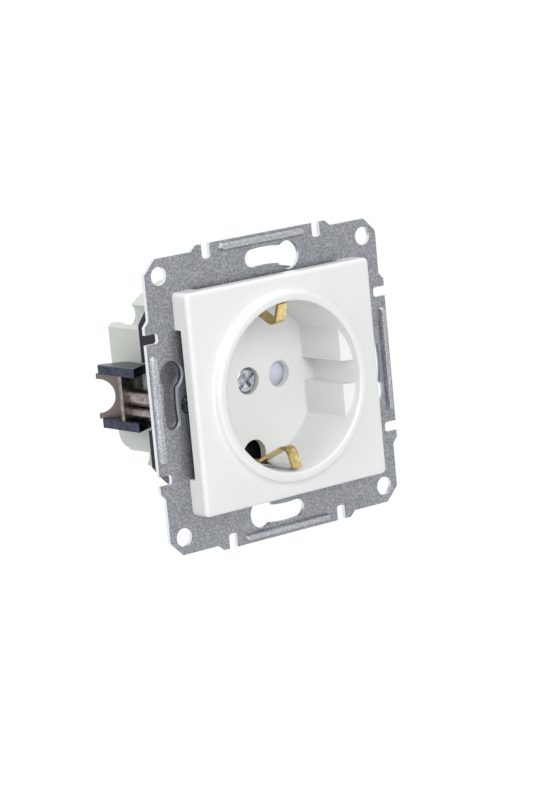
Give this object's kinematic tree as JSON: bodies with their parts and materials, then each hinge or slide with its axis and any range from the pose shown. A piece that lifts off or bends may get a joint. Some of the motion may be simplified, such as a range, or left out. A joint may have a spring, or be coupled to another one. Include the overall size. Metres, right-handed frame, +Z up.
{
  "type": "wall socket",
  "caption": "Flush wall socket with a square cover, a round earthed well, a steel mounting plate with keyholes, and claws that grip a round wall box.",
  "frame": {"origin": "centre of the mounting plate's back face, which is the wall plane", "axes": "+X to the right seen from the room, +Y into the wall, +Z up; the socket faces -Y"},
  "size_m": [0.0706, 0.0402, 0.0706],
  "materials": {
    "galvanised_steel": "zinc coated, dull with a fine spangle",
    "white_cover": "glossy moulded white",
    "dark_carrier": "moulded, nearly black",
    "light_housing": "moulded, pale grey green",
    "shutter_white": "moulded, bluish white",
    "brass": "stamped sheet, bright",
    "zinc_screw": "zinc plated, bright",
    "spring_steel": "bright",
    "claw_steel": "dark, oiled",
    "nut_steel": "brownish, unplated"
  },
  "bodies": {
    "socket": {"mounting_plate": "galvanised_steel", "cover": "white_cover", "well_floor": "white_cover", "cover_screw": "zinc_screw", "screw_bush": "brass", "contact_carrier": "dark_carrier", "rear_housing": "light_housing", "shutter_springs": "spring_steel", "earth_strap": "brass", "earth_clip_leaves": "spring_steel", "live_contact": "brass", "neutral_contact": "brass", "live_contact_spring": "spring_steel", "neutral_contact_spring": "spring_steel", "live_terminal": "brass", "neutral_terminal": "brass", "earth_terminal": "brass", "live_terminal_screw": "zinc_screw", "neutral_terminal_screw": "zinc_screw", "earth_terminal_screw": "zinc_screw", "claw_bracket_left": "galvanised_steel", "claw_bracket_right": "galvanised_steel", "plate_rivets": "zinc_screw", "housing_screws": "zinc_screw"},
    "shutter": {"shutter": "shutter_white"},
    "claw_screw_left": {"claw_screw_left": "zinc_screw"},
    "claw_screw_right": {"claw_screw_right": "zinc_screw"},
    "claw_left": {"claw_left": "claw_steel", "claw_nut_left": "nut_steel"},
    "claw_right": {"claw_right": "claw_steel", "claw_nut_right": "nut_steel"}
  },
  "joints": [
    {"name": "shutter_slide", "type": "slide", "parent": "socket", "child": "shutter", "axis": [0, 0, 1], "range_m": [0, 0.0068], "stiffness_N_per_m": 100, "springref_m": -0.003, "deforming": ["shutter_springs"]},
    {"name": "claw_screw_left_tilt", "type": "hinge", "parent": "socket", "child": "claw_screw_left", "pos_m": [-0.0252, 0.0003, 0], "axis": [0, 0, 1], "range_deg": [0, 5]},
    {"name": "claw_left_draw", "type": "slide", "parent": "claw_screw_left", "child": "claw_left", "axis": [0, -1, 0], "range_m": [0, 0.0036]},
    {"name": "claw_screw_right_tilt", "type": "hinge", "parent": "socket", "child": "claw_screw_right", "pos_m": [0.0252, 0.0003, 0], "axis": [0, 0, -1], "range_deg": [0, 5]},
    {"name": "claw_right_draw", "type": "slide", "parent": "claw_screw_right", "child": "claw_right", "axis": [0, -1, 0], "range_m": [0, 0.0036]}
  ],
  "couplings": [
    {"joint": "claw_screw_left_tilt", "follows": "claw_left_draw", "rad_per_m": 19.8},
    {"joint": "claw_screw_right_tilt", "follows": "claw_right_draw", "rad_per_m": 19.8}
  ]
}
